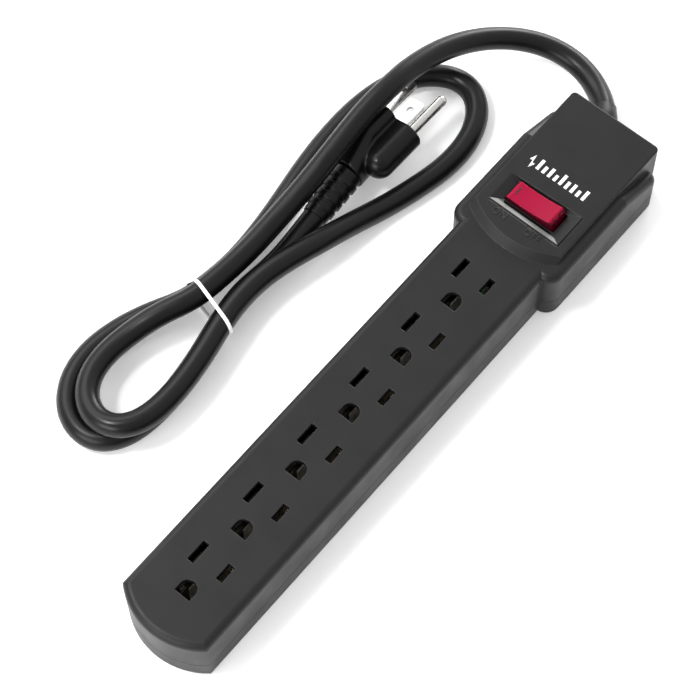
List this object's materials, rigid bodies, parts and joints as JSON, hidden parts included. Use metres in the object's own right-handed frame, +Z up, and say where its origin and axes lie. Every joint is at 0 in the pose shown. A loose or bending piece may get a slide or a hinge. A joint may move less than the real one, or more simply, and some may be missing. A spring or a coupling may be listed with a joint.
{
  "type": "power strip",
  "caption": "Low rectangular power strip with a row of grounded outlets, a lit rocker switch in a raised head, and its cord folded in a tied hank with a three-prong plug.",
  "frame": {"origin": "middle of the flat underside of the housing", "axes": "+X along the strip towards the switch and the cord, +Y towards the wide blade slots and the cord, +Z up"},
  "size_m": [0.2991, 0.1289, 0.0332],
  "materials": {
    "case_plastic": "fine satin grain, charcoal",
    "screw_steel": "zinc plated",
    "insulator": "natural nylon",
    "contact_brass": "stamped strip",
    "switch_plastic": "black, satin",
    "rocker_red": "tinted crimson, satin",
    "spring_steel": "spring wire",
    "lamp_glass": "clear bulb",
    "board": "phenolic sheet",
    "varistor_blue": "epoxy coating",
    "fuse_body": "glazed",
    "cord_jacket": "soft vinyl, satin",
    "relief_rubber": "soft vinyl, satin",
    "wire_black": "vinyl insulation",
    "wire_white": "vinyl insulation",
    "wire_green": "vinyl insulation",
    "tie_white": "thin coated wire tie",
    "plug_plastic": "moulded vinyl, satin",
    "prong_metal": "nickel plated brass"
  },
  "bodies": {
    "strip": {"top_cover": "case_plastic", "bottom_cover": "case_plastic", "case_screws": "screw_steel", "contact_carrier": "insulator", "hot_bus": "contact_brass", "neutral_bus": "contact_brass", "ground_bus": "contact_brass", "switch_housing": "switch_plastic", "switch_load_terminal": "contact_brass", "switch_common_terminal": "contact_brass", "switch_lamp_terminal": "contact_brass", "circuit_board": "board", "varistors": "varistor_blue", "thermal_fuse": "fuse_body", "cord_clamp": "insulator", "clamp_screws": "screw_steel", "inner_cord_end": "cord_jacket", "line_wire": "wire_black", "neutral_wire": "wire_white", "ground_wire": "wire_green", "switched_line_wire": "wire_black", "cord_strain_relief": "relief_rubber", "power_cord": "cord_jacket", "cord_tie": "tie_white", "plug_body": "plug_plastic", "plug_strain_relief": "plug_plastic", "plug_line_blade": "prong_metal", "plug_neutral_blade": "prong_metal", "plug_ground_pin": "prong_metal"},
    "rocker": {"switch_rocker": "rocker_red", "switch_plunger": "insulator", "plunger_spring": "spring_steel", "neon_lamp": "lamp_glass"},
    "lever": {"contact_lever": "contact_brass"}
  },
  "joints": [
    {"name": "rocker_tilt", "type": "hinge", "parent": "strip", "child": "rocker", "pos_m": [0.0852, 0.0005, 0.0225], "axis": [1, 0, 0], "range_deg": [0, 10]},
    {"name": "lever_tilt", "type": "hinge", "parent": "strip", "child": "lever", "pos_m": [0.0852, 0.0005, 0.0129], "axis": [1, 0, 0], "range_deg": [-10, 0]}
  ],
  "couplings": [
    {"joint": "lever_tilt", "follows": "rocker_tilt", "ratio": -1}
  ]
}
